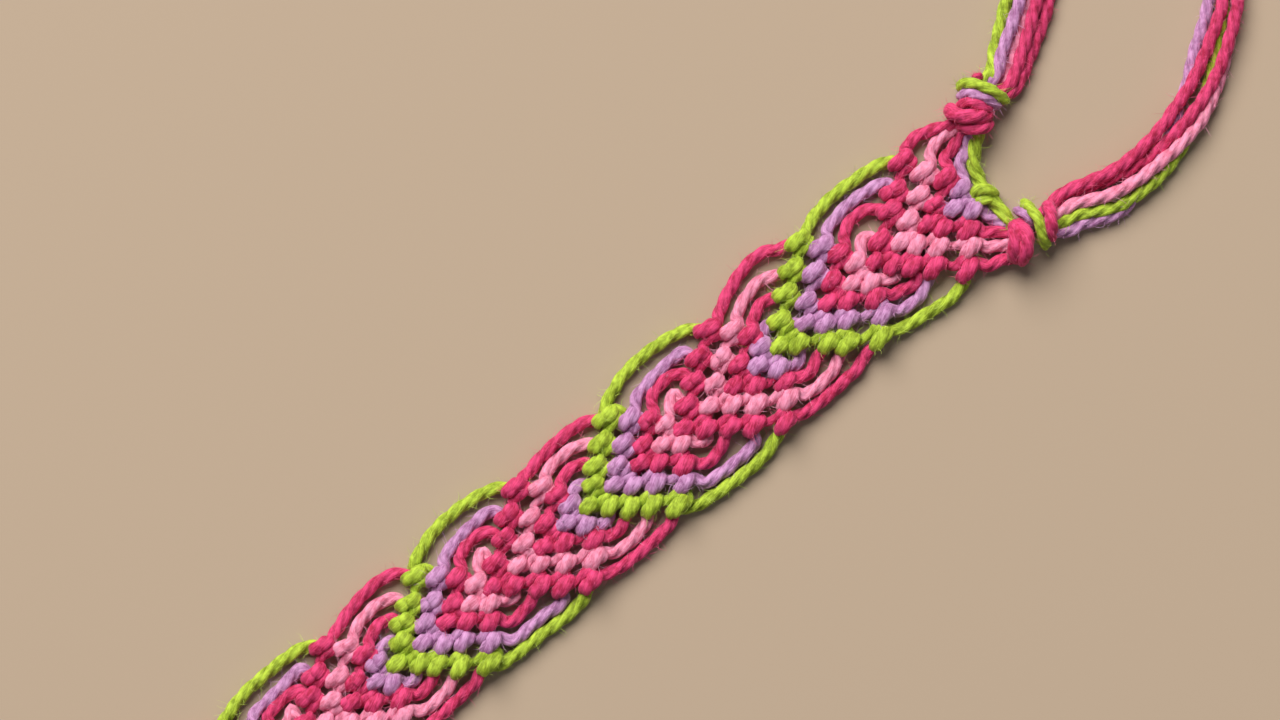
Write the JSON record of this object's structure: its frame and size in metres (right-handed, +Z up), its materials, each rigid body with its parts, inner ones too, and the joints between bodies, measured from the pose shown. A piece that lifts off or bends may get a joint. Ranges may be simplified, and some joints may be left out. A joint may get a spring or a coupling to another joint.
{
  "type": "friendship bracelet",
  "caption": "Flat knotted friendship bracelet in a leaf pattern of green, lilac, pink and salmon thread, with a closing loop at one end and two ties at the other.",
  "frame": {"origin": "on the underside of the band, below the middle knot of the widest row of the middle leaf", "axes": "+X along the band towards the closing loop, +Y across the band, +Z up from the surface that it lies on"},
  "size_m": [0.2467, 0.0271, 0.0037],
  "materials": {
    "green_thread": "soft plied cotton thread, lime green, slightly fuzzy",
    "lilac_thread": "soft plied cotton thread, lilac, slightly fuzzy",
    "pink_thread": "soft plied cotton thread, hot pink, slightly fuzzy",
    "salmon_thread": "soft plied cotton thread, light salmon pink, slightly fuzzy"
  },
  "bodies": {
    "root": {"green_rows": "green_thread", "lilac_rows": "lilac_thread", "pink_rows": "pink_thread", "salmon_rows": "salmon_thread", "left_gathering_knot": "pink_thread", "right_gathering_knot": "pink_thread", "closing_loop": "pink_thread", "left_far_knot": "pink_thread", "right_far_knot": "pink_thread", "left_tie": "pink_thread", "right_tie": "pink_thread", "left_tie_knot": "pink_thread", "right_tie_knot": "pink_thread"}
  },
  "joints": []
}
